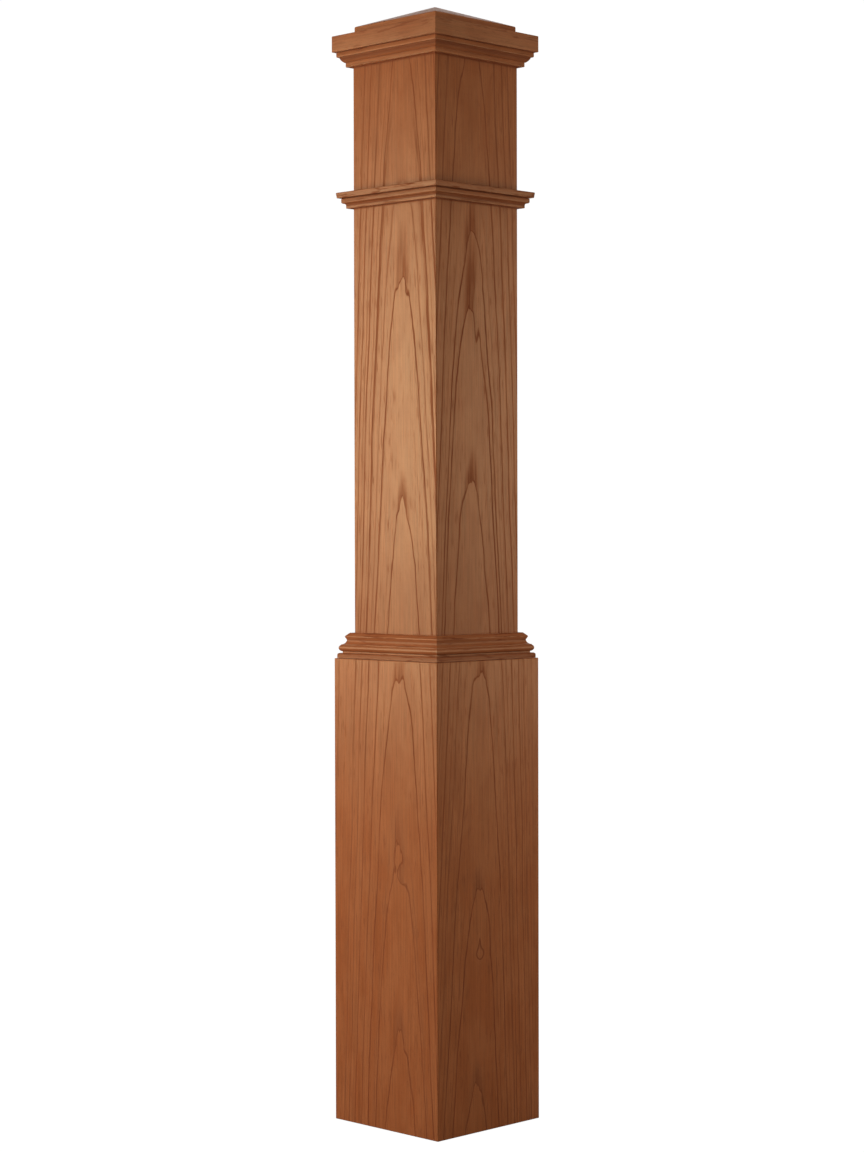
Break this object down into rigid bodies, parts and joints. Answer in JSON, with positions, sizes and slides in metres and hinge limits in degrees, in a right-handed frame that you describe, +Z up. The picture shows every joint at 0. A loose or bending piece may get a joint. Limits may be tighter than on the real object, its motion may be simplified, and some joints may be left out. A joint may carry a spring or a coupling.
{
  "type": "box newel post",
  "caption": "Square hollow newel post for a stair: a wide lower box, a narrower column with mitred neck and base mouldings, and a stepped cap with a low pyramid top.",
  "frame": {"origin": "on the floor, at the centre of the post's square foot", "axes": "+Z up along the post; the front face looks along -Y and the right face along +X"},
  "size_m": [0.1604, 0.1604, 1.2217],
  "materials": {
    "cherry_column": "satin",
    "cherry_base": "satin",
    "cherry_base_moulding": "satin",
    "cherry_neck_moulding": "satin",
    "cherry_cap_moulding": "satin",
    "cherry_cap_plate": "satin",
    "cherry_cap_crown": "satin"
  },
  "bodies": {
    "root": {"column_board_front": "cherry_column", "column_board_right": "cherry_column", "column_board_back": "cherry_column", "column_board_left": "cherry_column", "base_board_front": "cherry_base", "base_board_right": "cherry_base", "base_board_back": "cherry_base", "base_board_left": "cherry_base", "base_moulding_front": "cherry_base_moulding", "base_moulding_right": "cherry_base_moulding", "base_moulding_back": "cherry_base_moulding", "base_moulding_left": "cherry_base_moulding", "neck_moulding_front": "cherry_neck_moulding", "neck_moulding_right": "cherry_neck_moulding", "neck_moulding_back": "cherry_neck_moulding", "neck_moulding_left": "cherry_neck_moulding", "cap_moulding_front": "cherry_cap_moulding", "cap_moulding_right": "cherry_cap_moulding", "cap_moulding_back": "cherry_cap_moulding", "cap_moulding_left": "cherry_cap_moulding", "cap_plate": "cherry_cap_plate", "cap_crown": "cherry_cap_crown"}
  },
  "joints": []
}
